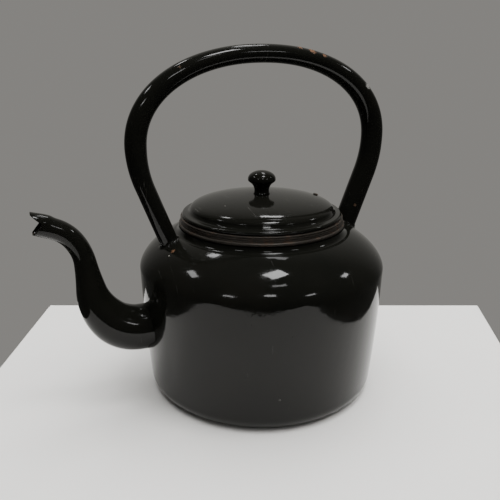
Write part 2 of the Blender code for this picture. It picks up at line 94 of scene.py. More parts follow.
def oval_arc(radius: float, base: float, rise: float, first: float, last: float, steps: int) -> Outline:
    """Points on an oval dome between two radii.

    Args:
        radius: radius of the dome at its base.
        base: height of the base.
        rise: height of the dome above its base.
        first: radius of the first point.
        last: radius of the last point.
        steps: number of steps.

    Returns:
        The points from the first radius to the last.
    """
    ends = [math.acos(min(1.0, first / radius)), math.acos(min(1.0, last / radius))]
    turns = [ends[0] + (ends[1] - ends[0]) * i / steps for i in range(steps + 1)]
    return [(radius * math.cos(t), base + rise * math.sin(t)) for t in turns]


def rounded(outline: Outline, passes: int) -> Outline:
    """Cut the corners of an open outline, which keeps its two ends.

    Args:
        outline: the points to round.
        passes: how many times each corner is cut at a quarter of its sides.

    Returns:
        The rounded outline.
    """
    points = outline
    for _ in range(passes):
        cut = [points[0]]
        for (r0, z0), (r1, z1) in zip(points, points[1:]):
            cut.append((0.75 * r0 + 0.25 * r1, 0.75 * z0 + 0.25 * z1))
            cut.append((0.25 * r0 + 0.75 * r1, 0.25 * z0 + 0.75 * z1))
        points = cut + [points[-1]]
    return points


def spin_outline(outline: Outline, steps: int) -> bmesh.types.BMesh:
    """Spin a closed outline about Z into a shell with closed poles.

    Args:
        outline: the closed outline.
        steps: number of steps in the full turn.

    Returns:
        The shell, with its faces pointing outwards.
    """
    mesh = bmesh.new()
    points = [mesh.verts.new((radius, 0.0, height)) for radius, height in outline]
    edges = [mesh.edges.new((points[i - 1], points[i])) for i in range(len(points))]
    rim = [edge for edge in edges if any(vert.co.x > MERGE for vert in edge.verts)]
    bmesh.ops.spin(mesh, geom=points + rim, cent=(0.0, 0.0, 0.0), axis=(0.0, 0.0, 1.0),
                   angle=2.0 * math.pi, steps=steps, use_merge=True)
    loose = [edge for edge in mesh.edges if not edge.link_faces]
    bmesh.ops.delete(mesh, geom=loose, context="EDGES")
    bmesh.ops.remove_doubles(mesh, verts=mesh.verts, dist=MERGE)
    bmesh.ops.recalc_face_normals(mesh, faces=mesh.faces)
    return mesh


@dataclass(frozen=True)
class Station:
    """One ring of a swept tube: its centre, its heading and its two radii."""

    centre: Vector
    tangent: Vector
    tall: float
    wide: float


def station_matrix(station: Station) -> Matrix:
    """Place a unit ring at a station of a tube that lies in the XZ plane.

    Args:
        station: where the ring goes.

    Returns:
        The ring's matrix.
    """
    tangent = station.tangent
    across = Vector((-tangent.z, 0.0, tangent.x))
    turn = Matrix((across, Vector((0.0, 1.0, 0.0)), tangent)).transposed().to_4x4()
    return Matrix.Translation(station.centre) @ turn @ Matrix.Diagonal((station.tall, station.wide, 1.0, 1.0))


def sweep_tube(stations: list[Station], sides: int) -> bmesh.types.BMesh:
    """Extrude a ring from station to station.

    Args:
        stations: the rings in order.
        sides: number of sides of each ring.

    Returns:
        A sleeve that is open at both ends, with its faces pointing outwards.
    """
    mesh = bmesh.new()
    place = station_matrix(stations[0])
    bmesh.ops.create_circle(mesh, segments=sides, radius=1.0, matrix=place)
    edges = list(mesh.edges)
    for station in stations[1:]:
        grown = bmesh.ops.extrude_edge_only(mesh, edges=edges)["geom"]
        edges = [item for item in grown if isinstance(item, bmesh.types.BMEdge) and len(item.link_faces) == 1]
        ring = list({vert for edge in edges for vert in edge.verts})
        following = station_matrix(station)
        bmesh.ops.transform(mesh, matrix=following @ place.inverted(), verts=ring)
        place = following
    bmesh.ops.recalc_face_normals(mesh, faces=mesh.faces)
    return mesh


def close_ends(mesh: bmesh.types.BMesh) -> None:
    """Fill every open ring of a sleeve.

    Args:
        mesh: the sleeve.
    """
    rims = [edge for edge in mesh.edges if len(edge.link_faces) == 1]
    bmesh.ops.holes_fill(mesh, edges=rims, sides=0)
    bmesh.ops.recalc_face_normals(mesh, faces=mesh.faces)


def standing(point: Vector, direction: Vector) -> Matrix:
    """Matrix that puts the origin at a point with Z along a direction.

    Args:
        point: where the origin goes.
        direction: where Z points.

    Returns:
        The matrix.
    """
    turn = Vector((0.0, 0.0, 1.0)).rotation_difference(direction)
    return Matrix.Translation(point) @ turn.to_matrix().to_4x4()


@dataclass
class Maker:
    """Turns finished meshes into dressed pieces that ride on a body."""

    finishes: dict[str, bpy.types.Material]

    def piece(self, name: str, mesh: bmesh.types.BMesh, finish: str, rides: Rides,
              node: str, sharp: float = 40.0) -> bpy.types.Object:
        """Link a piece, shade it and hide the solid that it stands for.

        Args:
            name: name of the new object.
            mesh: its mesh, which is freed.
            finish: name of its finish.
            rides: body that it moves with.
            node: solid that it stands for.
            sharp: angle in degrees past which an edge stays sharp.

        Returns:
            The new object.
        """
        data = bpy.data.meshes.new(name)
        mesh.to_mesh(data)
        mesh.free()
        data.shade_smooth()
        data.set_sharp_from_angle(angle=math.radians(sharp))
        data.materials.append(self.finishes[finish])
        made = bpy.data.objects.new(name, data)
        bpy.context.scene.collection.objects.link(made)
        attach(made, rides.value)
        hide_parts(node)
        LOG.info("%s: %d faces for %s", name, len(data.polygons), node)
        return made

    def dress(self, node: str, finish: str) -> None:
        """Give a solid that stays in view its finish."""
        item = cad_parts[node]
        item.data.materials.clear()
        item.data.materials.append(self.finishes[finish])
        LOG.info("%s keeps its solid, in %s", node, finish)


# ---- node graphs --------------------------------------------------------------------------


@dataclass
class Graph:
    """Short calls for laying nodes into a node tree."""

    tree: bpy.types.NodeTree

    def node(self, kind: str, **settings: object) -> bpy.types.Node:
        """Add a node and set its plain properties."""
        made = self.tree.nodes.new(kind)
        for key, value in settings.items():
            setattr(made, key, value)
        return made

    def join(self, source: bpy.types.NodeSocket, target: bpy.types.NodeSocket) -> None:
        """Link one socket to another."""
        self.tree.links.new(source, target)

    def feed(self, target: bpy.types.NodeSocket, value: object) -> None:
        """Link a socket, or set its value where a plain one is given."""
        if isinstance(value, bpy.types.NodeSocket):
            self.join(value, target)
        else:
            target.default_value = value

    def noise(self, vector: bpy.types.NodeSocket, scale: object, detail: float, rough: float = 0.5,
              warp: float = 0.0) -> bpy.types.NodeSocket:
        """Noise between 0 and 1 at a scale of cycles per metre."""
        made = self.node("ShaderNodeTexNoise")
        self.join(vector, made.inputs["Vector"])
        self.feed(made.inputs["Scale"], scale)
        made.inputs["Detail"].default_value = detail
        made.inputs["Roughness"].default_value = rough
        made.inputs["Distortion"].default_value = warp
        return made.outputs["Fac"]

    def span(self, value: bpy.types.NodeSocket, low: object, high: object, first: float = 0.0,
             last: float = 1.0) -> bpy.types.NodeSocket:
        """Smoothly map a value's range onto another one, and clamp it."""
        made = self.node("ShaderNodeMapRange", interpolation_type="SMOOTHSTEP")
        self.join(value, made.inputs["Value"])
        self.feed(made.inputs["From Min"], low)
        self.feed(made.inputs["From Max"], high)
        made.inputs["To Min"].default_value = first
        made.inputs["To Max"].default_value = last
        return made.outputs["Result"]

    def sum(self, operation: str, first: object, second: object) -> bpy.types.NodeSocket:
        """One arithmetic step on two values."""
        made = self.node("ShaderNodeMath", operation=operation)
        self.feed(made.inputs[0], first)
        self.feed(made.inputs[1], second)
        return made.outputs["Value"]

    def blend(self, mask: bpy.types.NodeSocket, under: object, over: object) -> bpy.types.NodeSocket:
        """Mix two colours by a mask."""
        made = self.node("ShaderNodeMix", data_type="RGBA")
        self.join(mask, made.inputs["Factor"])
        for key, given in (("A", under), ("B", over)):
            self.feed(made.inputs[key], given if isinstance(given, bpy.types.NodeSocket) else (*given, 1.0))
        return made.outputs["Result"]

    def call(self, group: bpy.types.NodeTree, vector: bpy.types.NodeSocket,
             **values: object) -> bpy.types.Node:
        """Place a shared effect, with its vector and its own values."""
        made = self.node("ShaderNodeGroup", node_tree=group)
        self.join(vector, made.inputs["Vector"])
        for key, value in values.items():
            self.feed(made.inputs[key], value)
        return made


def new_group(name: str, inputs: dict[str, float],
              outputs: list[str]) -> tuple[Graph, bpy.types.Node, bpy.types.Node]:
    """Start a shared effect.

    Args:
        name: name of the node group.
        inputs: float inputs beside the vector, with their defaults.
        outputs: names of its float outputs.

    Returns:
        The graph, its input node and its output node.
    """
    tree = bpy.data.node_groups.new(name, "ShaderNodeTree")
    tree.interface.new_socket("Vector", in_out="INPUT", socket_type="NodeSocketVector")
    for key, value in inputs.items():
        tree.interface.new_socket(key, in_out="INPUT", socket_type="NodeSocketFloat").default_value = value
    for key in outputs:
        tree.interface.new_socket(key, in_out="OUTPUT", socket_type="NodeSocketFloat")
    graph = Graph(tree)
    return graph, graph.node("NodeGroupInput"), graph.node("NodeGroupOutput")


def skin_group() -> bpy.types.NodeTree:
    """Fired skin: slow tone changes, a soft orange peel and patches of duller gloss."""
    graph, given, made = new_group("fired_skin", {"Scale": 1.0}, ["Tone", "Peel", "Dull"])
    vector = given.outputs["Vector"]
    slow = graph.sum("MULTIPLY", given.outputs["Scale"], 22.0)
    fine = graph.sum("MULTIPLY", given.outputs["Scale"], 260.0)
    specks = graph.sum("MULTIPLY", given.outputs["Scale"], 1500.0)
    graph.join(graph.noise(vector, slow, 4.0, 0.6), made.inputs["Tone"])
    graph.join(graph.noise(vector, fine, 2.0, 0.4), made.inputs["Peel"])
    film = graph.sum("MULTIPLY", graph.noise(vector, slow, 8.0, 0.75, 0.6), graph.noise(vector, specks, 2.0))
    graph.join(graph.span(film, 0.16, 0.42), made.inputs["Dull"])
    return graph.tree


def chip_group() -> bpy.types.NodeTree:
    """Ragged chips round a place: inside a reach, noise decides where enamel is gone."""
    graph, given, made = new_group("chips", {"Reach": 0.01, "Grain": 300.0, "Amount": 0.5}, ["Mask"])
    graph.tree.interface.new_socket("Centre", in_out="INPUT", socket_type="NodeSocketVector")
    gap = graph.node("ShaderNodeVectorMath", operation="DISTANCE")
    graph.join(given.outputs["Vector"], gap.inputs[0])
    graph.join(given.outputs["Centre"], gap.inputs[1])
    near = graph.sum("DIVIDE", gap.outputs["Value"], given.outputs["Reach"])
    ragged = graph.noise(given.outputs["Vector"], given.outputs["Grain"], 6.0, 0.65, 0.4)
    level = graph.sum("ADD", graph.sum("SUBTRACT", ragged, near), given.outputs["Amount"])
    graph.join(graph.span(level, 0.46, 0.54), made.inputs["Mask"])
    return graph.tree


def scratch_group() -> bpy.types.NodeTree:
    """Fine scratches: long thin noise that is broken into short lengths."""
    graph, given, made = new_group("scratches", {"Density": 1.0}, ["Mask"])
    turn = graph.node("ShaderNodeMapping")
    turn.inputs["Rotation"].default_value = (0.6, 0.5, 0.9)
    turn.inputs["Scale"].default_value = (900.0, 26.0, 60.0)
    graph.join(given.outputs["Vector"], turn.inputs["Vector"])
    lines = graph.span(graph.noise(turn.outputs["Vector"], 1.0, 2.0), 0.70, 0.76)
    broken = graph.span(graph.noise(given.outputs["Vector"], 45.0, 3.0), 0.52, 0.62)
    thinned = graph.sum("MULTIPLY", graph.sum("MULTIPLY", lines, broken), given.outputs["Density"])
    graph.join(thinned, made.inputs["Mask"])
    return graph.tree


def band_group() -> bpy.types.NodeTree:
    """Fine lines left by turning, which run round the kettle's axis."""
    graph, given, made = new_group("turned_lines", {"Pitch": 2600.0}, ["Line"])
    parts = graph.node("ShaderNodeSeparateXYZ")
    graph.join(given.outputs["Vector"], parts.inputs["Vector"])
    wave = graph.sum("MULTIPLY", parts.outputs["Z"], given.outputs["Pitch"])
    wobble = graph.noise(given.outputs["Vector"], 60.0, 3.0)
    line = graph.sum("SINE", graph.sum("ADD", wave, wobble), 0.0)
    graph.join(graph.span(line, -1.0, 1.0), made.inputs["Line"])
    return graph.tree


@dataclass(frozen=True)
class Effects:
    """The node groups that the finishes share."""

    skin: bpy.types.NodeTree
    chips: bpy.types.NodeTree
    scratches: bpy.types.NodeTree
    lines: bpy.types.NodeTree

    @classmethod
    def build(cls) -> "Effects":
        """Build each group once."""
        return cls(skin_group(), chip_group(), scratch_group(), band_group())


@dataclass(frozen=True)
class Damage:
    """A place where the enamel has been hurt."""

    centre: tuple[float, float, float]
    reach: float
    stain: Stain
    amount: float = 0.5
    grain: float = 300.0


@dataclass(frozen=True)
class Enamel:
    """Glossy fired black enamel over iron, with its damage."""

    name: str
    black: Colour = (0.0028, 0.0033, 0.0027)
    warm: Colour = (0.0066, 0.0062, 0.0048)
    gloss: float = 0.045
    dull: float = 0.15
    peel: float = 0.00003
    shine: float = 0.24
    scratches: float = 0.5
    damage: tuple[Damage, ...] = ()

    def build(self, effects: Effects) -> bpy.types.Material:
        """Make the material.

        Args:
            effects: the shared node groups.

        Returns:
            The finished material.
        """
        made = bpy.data.materials.new(self.name)
        made.use_nodes = True
        graph = Graph(made.node_tree)
        shader = made.node_tree.nodes["Principled BSDF"]
        vector = graph.node("ShaderNodeTexCoord").outputs["Object"]
        skin = graph.call(effects.skin, vector)
        colour = graph.blend(skin.outputs["Tone"], self.black, self.warm)
        lines = graph.call(effects.scratches, vector, Density=self.scratches).outputs["Mask"]
        colour = graph.blend(graph.sum("MULTIPLY", lines, 0.35), colour, Stain.SCUFF.value)
        lost = None
        for spot in self.damage:
            mask = graph.call(effects.chips, vector, Centre=spot.centre, Reach=spot.reach,
                              Grain=spot.grain, Amount=spot.amount).outputs["Mask"]
            colour = graph.blend(mask, colour, spot.stain.value)
            lost = mask if lost is None else graph.sum("MAXIMUM", lost, mask)
        graph.join(colour, shader.inputs["Base Color"])
        shader.inputs["Specular IOR Level"].default_value = self.shine
        rough = graph.span(skin.outputs["Dull"], 0.0, 1.0, self.gloss, self.dull)
        rough = graph.sum("ADD", rough, graph.sum("MULTIPLY", lines, 0.15))
        height = graph.sum("MULTIPLY", skin.outputs["Peel"], self.peel)
        if lost is not None:
            rough = graph.sum("MAXIMUM", rough, graph.sum("MULTIPLY", lost, 0.75))
            height = graph.sum("SUBTRACT", height, graph.sum("MULTIPLY", lost, 0.0003))
        graph.join(rough, shader.inputs["Roughness"])
        bump = graph.node("ShaderNodeBump")
        bump.inputs["Distance"].default_value = 1.0
        graph.join(height, bump.inputs["Height"])
        graph.join(bump.outputs["Normal"], shader.inputs["Normal"])
        return made


@dataclass(frozen=True)
class WornIron:
    """Bare iron with rust in patches, and turned lines where it has been in a lathe."""

    name: str
    bright: Colour = (0.040, 0.034, 0.028)
    rust: Colour = (0.042, 0.025, 0.015)
    dark: Colour = (0.009, 0.008, 0.007)
    rusted: float = 0.35
    metallic: float = 0.5
    lines: float = 0.00004

    def build(self, effects: Effects) -> bpy.types.Material:
        """Make the material.

        Args:
            effects: the shared node groups.

        Returns:
            The finished material.
        """
        made = bpy.data.materials.new(self.name)
        made.use_nodes = True
        graph = Graph(made.node_tree)
        shader = made.node_tree.nodes["Principled BSDF"]
        vector = graph.node("ShaderNodeTexCoord").outputs["Object"]
        skin = graph.call(effects.skin, vector, Scale=2.0)
        line = graph.call(effects.lines, vector).outputs["Line"]
        patches = graph.noise(vector, 120.0, 7.0, 0.7, 0.3)
        mask = graph.span(patches, 0.62 - self.rusted * 0.3, 0.72 - self.rusted * 0.3)
        colour = graph.blend(mask, self.bright, self.rust)
        pits = graph.span(graph.noise(vector, 700.0, 4.0, 0.6), 0.58, 0.70)
        colour = graph.blend(graph.sum("MULTIPLY", pits, 0.7), colour, self.dark)
        colour = graph.blend(graph.sum("MULTIPLY", line, 0.45), colour, self.dark)
        graph.join(colour, shader.inputs["Base Color"])
        graph.join(graph.span(mask, 0.0, 1.0, 0.38, 0.80), shader.inputs["Roughness"])
        graph.join(graph.span(mask, 0.0, 1.0, self.metallic, 0.0), shader.inputs["Metallic"])
        height = graph.sum("MULTIPLY", line, self.lines)
        height = graph.sum("SUBTRACT", height, graph.sum("MULTIPLY", pits, 0.00005))
        height = graph.sum("ADD", height, graph.sum("MULTIPLY", skin.outputs["Peel"], 0.00004))
        bump = graph.node("ShaderNodeBump")
        bump.inputs["Distance"].default_value = 1.0
        graph.join(height, bump.inputs["Height"])
        graph.join(bump.outputs["Normal"], shader.inputs["Normal"])
        return made


# ---- kettle body ----------------------------------------------------------------------------


@dataclass
class Body:
    """The cast body: flat base, bulged side, round shoulder, seat and lip."""

    base_radius: float = 0.0971
    radius: float = 0.1025
    widest: float = 0.1079
    shoulder: float = 0.1400
    crown_radius: float = 0.0568
    exponent: float = 1.60
    corner: float = 0.0130
    wall: float = 0.0030
    floor: float = 0.0040
    bulge: float = 0.62
    bore: float = 0.0595
    lip_radius: float = 0.0623
    seat_radius: float = 0.0690
    seat: float = 0.1406
    lip_top: float = 0.1460
    fillet: float = 0.0042
    tool_place: float = 0.015
    tool_length: float = 0.040
    steps: int = 240

    def side_radius(self, share: float, inset: float) -> float:
        """Radius of the side at a share of its height, pulled in by an inset."""
        swell = (1.0 - self.bulge) * share + self.bulge * (2.0 * share - share * share)
        return self.base_radius + (self.radius - self.base_radius) * swell - inset

    def shoulder_height(self, radius: float, inset: float = 0.0) -> float:
        """Height of the shoulder above a radius, for the skin pulled in by an inset."""
        reach = self.radius - inset - self.crown_radius
        share = min(1.0, max(0.0, radius - self.crown_radius) / reach)
        rise = self.shoulder - inset - self.widest
        return self.widest + rise * (1.0 - share ** self.exponent) ** (1.0 / self.exponent)

    def shoulder_run(self, inset: float, inner: float, steps: int) -> Outline:
        """Shoulder from the widest height in to a radius."""
        reach = self.radius - inset - self.crown_radius
        last = math.acos(((inner - self.crown_radius) / reach) ** (self.exponent / 2.0))
        radii = [self.crown_radius + reach * math.cos(last * (i + 1) / steps) ** (2.0 / self.exponent)
                 for i in range(steps)]
        return [(radius, self.shoulder_height(radius, inset)) for radius in radii]

    def side_run(self, inset: float, floor: float, steps: int) -> Outline:
        """Corner and side from the floor up to the widest height."""
        radius = max(self.corner - inset, self.wall)
        points = arc((self.base_radius - inset - radius, floor + radius), radius, -90.0, 0.0, 16)
        low = points[-1][1]
        shares = [(i + 1) / steps for i in range(steps)]
        return points + [(self.side_radius(s, inset), low + (self.widest - low) * s) for s in shares]

    def outline(self) -> Outline:
        """Closed outline of the casting."""
        start = self.seat_radius + self.fillet
        rise = self.seat - self.shoulder_height(start)
        fillet = [(start - self.fillet * math.sin(t), self.seat - rise * math.cos(t))
                  for t in (math.radians(9.0 * i) for i in range(1, 11))]
        lip = [(self.lip_radius, self.seat), (self.lip_radius, self.lip_top), (self.bore, self.lip_top)]
        inner = list(reversed(self.shoulder_run(self.wall, self.bore, 24)))
        inner += list(reversed(self.side_run(self.wall, self.floor, 16)))
        outer = self.side_run(0.0, 0.0, 36) + self.shoulder_run(0.0, start, 48)
        return [(0.0, 0.0)] + outer + fillet + lip + inner + [(0.0, self.floor)]

    def foot_point(self, lean: float, radius: float, height: float) -> tuple[float, float]:
        """Where a leaning line that starts at a radius and height meets the shoulder."""
        low, high = 0.0, height
        for _ in range(40):
            middle = (low + high) / 2.0
            above = height - middle * math.cos(lean) > self.shoulder_height(radius - middle * math.sin(lean))
            low, high = (middle, high) if above else (low, middle)
        return radius - low * math.sin(lean), height - low * math.cos(lean)

    def build(self, maker: Maker, spout: "Spout") -> None:
        """Spin the body, cut the spout's hole and dress it."""
        made = maker.piece("body_shell", spin_outline(self.outline(), self.steps), "body_enamel",
                           Rides.KETTLE, "kettle_body")
        mesh = bmesh.new()
        outward = Matrix.Translation((0.0, 0.0, self.tool_place))
        place = standing(spout.root(self), Vector((-1.0, 0.0, 0.0))) @ outward
        bmesh.ops.create_cone(mesh, cap_ends=True, segments=96, radius1=spout.root_radius,
                              radius2=spout.root_radius, depth=self.tool_length, matrix=place)
        cut_with(made, mesh)


def cut_with(item: bpy.types.Object, mesh: bmesh.types.BMesh) -> None:
    """Cut a closed tool out of a piece, and leave no modifier behind.

    Args:
        item: the piece to cut.
        mesh: the tool, which is freed.
    """
    data = bpy.data.meshes.new("tool")
    mesh.to_mesh(data)
    mesh.free()
    tool = bpy.data.objects.new("tool", data)
    bpy.context.scene.collection.objects.link(tool)
    cut = item.modifiers.new("cut", "BOOLEAN")
    cut.object = tool
    cut.solver = "EXACT"
    graph = bpy.context.evaluated_depsgraph_get()
    finished = bpy.data.meshes.new_from_object(item.evaluated_get(graph))
    item.modifiers.clear()
    item.data = finished
    bpy.data.objects.remove(tool)


# ---- spout ----------------------------------------------------------------------------------


@dataclass
class Spout:
    """Swan-neck spout with a beak mouth."""

    axis_height: float = 0.0627
    root_radius: float = 0.0187
    tip_radius: float = 0.0082
    wall: float = 0.0022
    inside: float = 0.0045
    root_run: float = 0.0061
    lower_bends: tuple[tuple[float, float], ...] = ((48.0, 0.032), (35.0, 0.050))
    neck_run: float = 0.0224
    upper_bends: tuple[tuple[float, float], ...] = ((-27.0, 0.0425), (-35.5, 0.0295))
    mouth_run: float = 0.0157
    taper_start: float = 0.0195
    taper_length: float = 0.0850
    beak_depth: float = 0.0078
    lip: float = 0.0008
    lip_share: float = 0.45
    lip_run: float = 0.020
    sides: int = 96

    def root(self, body: Body) -> Vector:
        """Centre of the spout's inner end."""
        share = (self.axis_height - body.corner) / (body.widest - body.corner)
        return Vector((-(body.side_radius(share, 0.0) - body.wall - self.inside), 0.0, self.axis_height))

    def radius(self, length: float) -> float:
        """Outer radius at a length along the spout."""
        share = min(1.0, max(0.0, (length - self.taper_start) / self.taper_length))
        ease = (1.0 + math.cos(math.pi * share)) / 2.0
        return self.tip_radius + (self.root_radius - self.tip_radius) * ease

    def path(self, body: Body) -> list[tuple[float, float, float, float]]:
        """Centreline as (reach, height, heading, length), in short equal steps."""
        line = [(-self.root(body).x, self.axis_height, 0.0, 0.0)]

        def run(distance: float, steps: int) -> None:
            """Add a straight run."""
            for _ in range(steps):
                reach, height, heading, length = line[-1]
                part = distance / steps
                line.append((reach + part * math.cos(heading), height + part * math.sin(heading),
                             heading, length + part))

        def bend(degrees: float, radius: float) -> None:
            """Add a circular bend."""
            steps = max(2, round(abs(degrees) / 3.0))
            turn = math.radians(degrees) / steps
            for _ in range(steps):
                reach, height, heading, length = line[-1]
                chord = 2.0 * radius * math.sin(abs(turn) / 2.0)
                middle = heading + turn / 2.0
                line.append((reach + chord * math.cos(middle), height + chord * math.sin(middle),
                             heading + turn, length + radius * abs(turn)))

        run(self.inside + body.wall + self.root_run, 6)
        for degrees, radius in self.lower_bends:
            bend(degrees, radius)
        run(self.neck_run, 8)
        for degrees, radius in self.upper_bends:
            bend(degrees, radius)
        run(self.mouth_run, 8)
        return line

    def stations(self, body: Body) -> list[Station]:
        """Rings along the spout, turned step by step until the mouth stands upright."""
        rings = []
        line = self.path(body)
        straight = line[-1][3] - self.mouth_run
        for reach, height, heading, length in line:
            turned = heading * max(0.0, length - straight) / self.mouth_run
            tangent = Vector((-math.cos(heading - turned), 0.0, math.sin(heading - turned)))
            size = self.radius(length)
            rings.append(Station(Vector((-reach, 0.0, height)), tangent, size / math.cos(turned), size))
        return rings

    def open_beak(self, mesh: bmesh.types.BMesh, mouth: Station) -> None:
        """Pull the rim back between the lips, and ease the pull into the tube behind.

        Args:
            mesh: the sleeve.
            mouth: its last station.
        """
        reach = 2.4 * self.beak_depth
        for vert in mesh.verts:
            behind = vert.co.x - mouth.centre.x
            if behind > reach:
                continue
            off = min(1.0, abs(vert.co.z - mouth.centre.z - 0.35 * behind) / (mouth.tall - self.lip))
            pull = self.beak_depth * (1.0 - math.sqrt(off * off + 0.01)) * (1.0 - max(0.0, behind) / reach)
            vert.co.x += max(0.0, pull)

    def thin_lips(self, made: bpy.types.Object, mouth: float) -> bpy.types.VertexGroup:
        """Weigh the wall so that it thins towards the mouth.

        Args:
            made: the sleeve.
            mouth: place of the mouth along X.

        Returns:
            The weights, 1 where the wall is full.
        """
        group = made.vertex_groups.new(name="wall")
        for vert in made.data.vertices:
            share = min(1.0, max(0.0, vert.co.x - mouth) / self.lip_run)
            group.add([vert.index], self.lip_share + (1.0 - self.lip_share) * share, "REPLACE")
        return group

    def build(self, maker: Maker, body: Body) -> None:
        """Sweep the spout, open its beak and give it a wall."""
        stations = self.stations(body)
        mesh = sweep_tube(stations, self.sides)
        self.open_beak(mesh, stations[-1])
        made = maker.piece("spout_shell", mesh, "spout_enamel", Rides.KETTLE, "spout")
        wall = made.modifiers.new("wall", "SOLIDIFY")
        wall.thickness = self.wall
        wall.offset = -1.0
        wall.use_even_offset = True
        wall.vertex_group = self.thin_lips(made, stations[-1].centre.x).name
        ease = made.modifiers.new("lips", "BEVEL")
        ease.width = self.lip
        ease.segments = 3
        ease.limit_method = "ANGLE"
        ease.angle_limit = math.radians(50.0)


# ---- hoop handle -----------------------------------------------------------------------------


@dataclass
class Hoop:
    """Round tube bent into a hoop, with a brazed fillet at each foot."""

    half_width: float = 0.1022
    widest: float = 0.2084
    crown: float = 0.2761
    exponent: float = 2.14
    bend_radius: float = 0.088
    lean: float = math.radians(20.6)
    crown_tall: float = 0.0071
    crown_wide: float = 0.0090
    front_side: float = 0.0084
    rear_side: float = 0.0092
    front_leg: float = 0.0075
    rear_leg: float = 0.0094
    braze_width: float = 0.0024
    braze_height: float = 0.0030
    overlap: float = 0.0012
    sunk: float = 0.0010
    spare: float = 0.0060
    sides: int = 64
    crown_steps: int = 64
    bend_steps: int = 16
    leg_steps: int = 12

    def foot(self, body: Body) -> tuple[float, float]:
        """Where the leg's centreline meets the shoulder."""
        radius = self.half_width - self.bend_radius * (1.0 - math.cos(self.lean))
        height = self.widest - self.bend_radius * math.sin(self.lean)
        return body.foot_point(self.lean, radius, height)

    def half(self, body: Body, side: float, leg: float) -> list[tuple[float, float, float, float]]:
        """One side of the hoop from the crown to below the shoulder, as (x, z, tall, wide)."""
        rise = self.crown - self.widest
        line = []
        for i in range(self.crown_steps + 1):
            turn = math.pi / 2.0 * (1.0 - i / self.crown_steps)
            ease = math.sin(turn) ** 2
            x = self.half_width * max(0.0, math.cos(turn)) ** (2.0 / self.exponent)
            z = self.widest + rise * max(0.0, math.sin(turn)) ** (2.0 / self.exponent)
            tall, wide = (side + (size - side) * ease for size in (self.crown_tall, self.crown_wide))
            line.append((x, z, tall, wide))
        for i in range(1, self.bend_steps + 1):
            turn = self.lean * i / self.bend_steps
            size = side + (leg - side) * i / self.bend_steps
            line.append((self.half_width - self.bend_radius * (1.0 - math.cos(turn)),
                         self.widest - self.bend_radius * math.sin(turn), size, size))
        foot_x, foot_z = self.foot(body)
        start = Vector(line[-1][:2])
        end = Vector((foot_x, foot_z)) - self.spare * Vector((math.sin(self.lean), math.cos(self.lean)))
        for i in range(1, self.leg_steps + 1):
            line.append((*start.lerp(end, i / self.leg_steps), leg, leg))
        return line

    def stations(self, body: Body) -> list[Station]:
        """Rings of the whole hoop, from the front foot to the rear one."""
        front = [(-x, z, a, b) for x, z, a, b in reversed(self.half(body, self.front_side, self.front_leg))]
        line = front + self.half(body, self.rear_side, self.rear_leg)[1:]
        points = [Vector((x, 0.0, z)) for x, z, _, _ in line]
        rings = []
        for i, (_, _, tall, wide) in enumerate(line):
            along = points[min(len(points) - 1, i + 1)] - points[max(0, i - 1)]
            rings.append(Station(points[i], along.normalized(), tall, wide))
        return rings

    def foot_frame(self, body: Body, side: float) -> tuple[Vector, Vector]:
        """Foot point and the shoulder's normal there, on one side."""
        x, z = self.foot(body)
        fall = body.shoulder_height(x - SMALL_STEP) - body.shoulder_height(x + SMALL_STEP)
        slope = fall / (2.0 * SMALL_STEP)
        return Vector((side * x, 0.0, z)), Vector((side * slope, 0.0, 1.0)).normalized()

    def braze(self, body: Body, side: float, leg: float) -> bmesh.types.BMesh:
        """Fillet of filler metal round a foot, laid on the curved shoulder.

        Args:
            body: the body that carries the foot.
            side: -1 for the front foot and 1 for the rear one.
            leg: radius of the leg.

        Returns:
            The closed ring.
        """
        outer = leg + self.braze_width
        turns = [math.radians(9.0 * i) for i in range(11)]
        sweep = [(outer - self.braze_width * math.sin(t), self.braze_height * (1.0 - math.cos(t)))
                 for t in turns]
        core = leg - self.overlap
        mesh = spin_outline([(core, -self.sunk), (outer, -self.sunk), *sweep, (core, self.braze_height)], 72)
        point, normal = self.foot_frame(body, side)
        bmesh.ops.transform(mesh, matrix=standing(point, normal), verts=mesh.verts)
        for vert in mesh.verts:
            flat = point.z - (normal.x * (vert.co.x - point.x) + normal.y * vert.co.y) / normal.z
            vert.co.z += body.shoulder_height(math.hypot(vert.co.x, vert.co.y)) - flat
        return mesh

    def build(self, maker: Maker, body: Body) -> None:
        """Sweep the hoop, trim its feet under the shoulder's skin and lay the fillets."""
        mesh = sweep_tube(self.stations(body), self.sides)
        for side in (-1.0, 1.0):
            point, normal = self.foot_frame(body, side)
            near = [vert for vert in mesh.verts if side * vert.co.x > 0.0 and vert.co.z < self.widest]
            edges = list({edge for vert in near for edge in vert.link_edges})
            faces = list({face for vert in near for face in vert.link_faces})
            bmesh.ops.bisect_plane(mesh, geom=near + edges + faces, dist=MERGE,
                                   plane_co=point - normal * self.sunk, plane_no=normal, clear_inner=True)
        close_ends(mesh)
        maker.piece("hoop_tube", mesh, "hoop_enamel", Rides.KETTLE, "handle_hoop")
        for word, side, leg in (("front", -1.0, self.front_leg), ("rear", 1.0, self.rear_leg)):
            maker.piece("fillet_" + word, self.braze(body, side, leg), "braze_enamel",
                        Rides.KETTLE, "handle_braze_" + word)
            maker.dress("handle_spigot_" + word, "inner_iron")
            maker.dress("handle_washer_" + word, "inner_iron")


# ---- neck ring and lid ------------------------------------------------------------------------


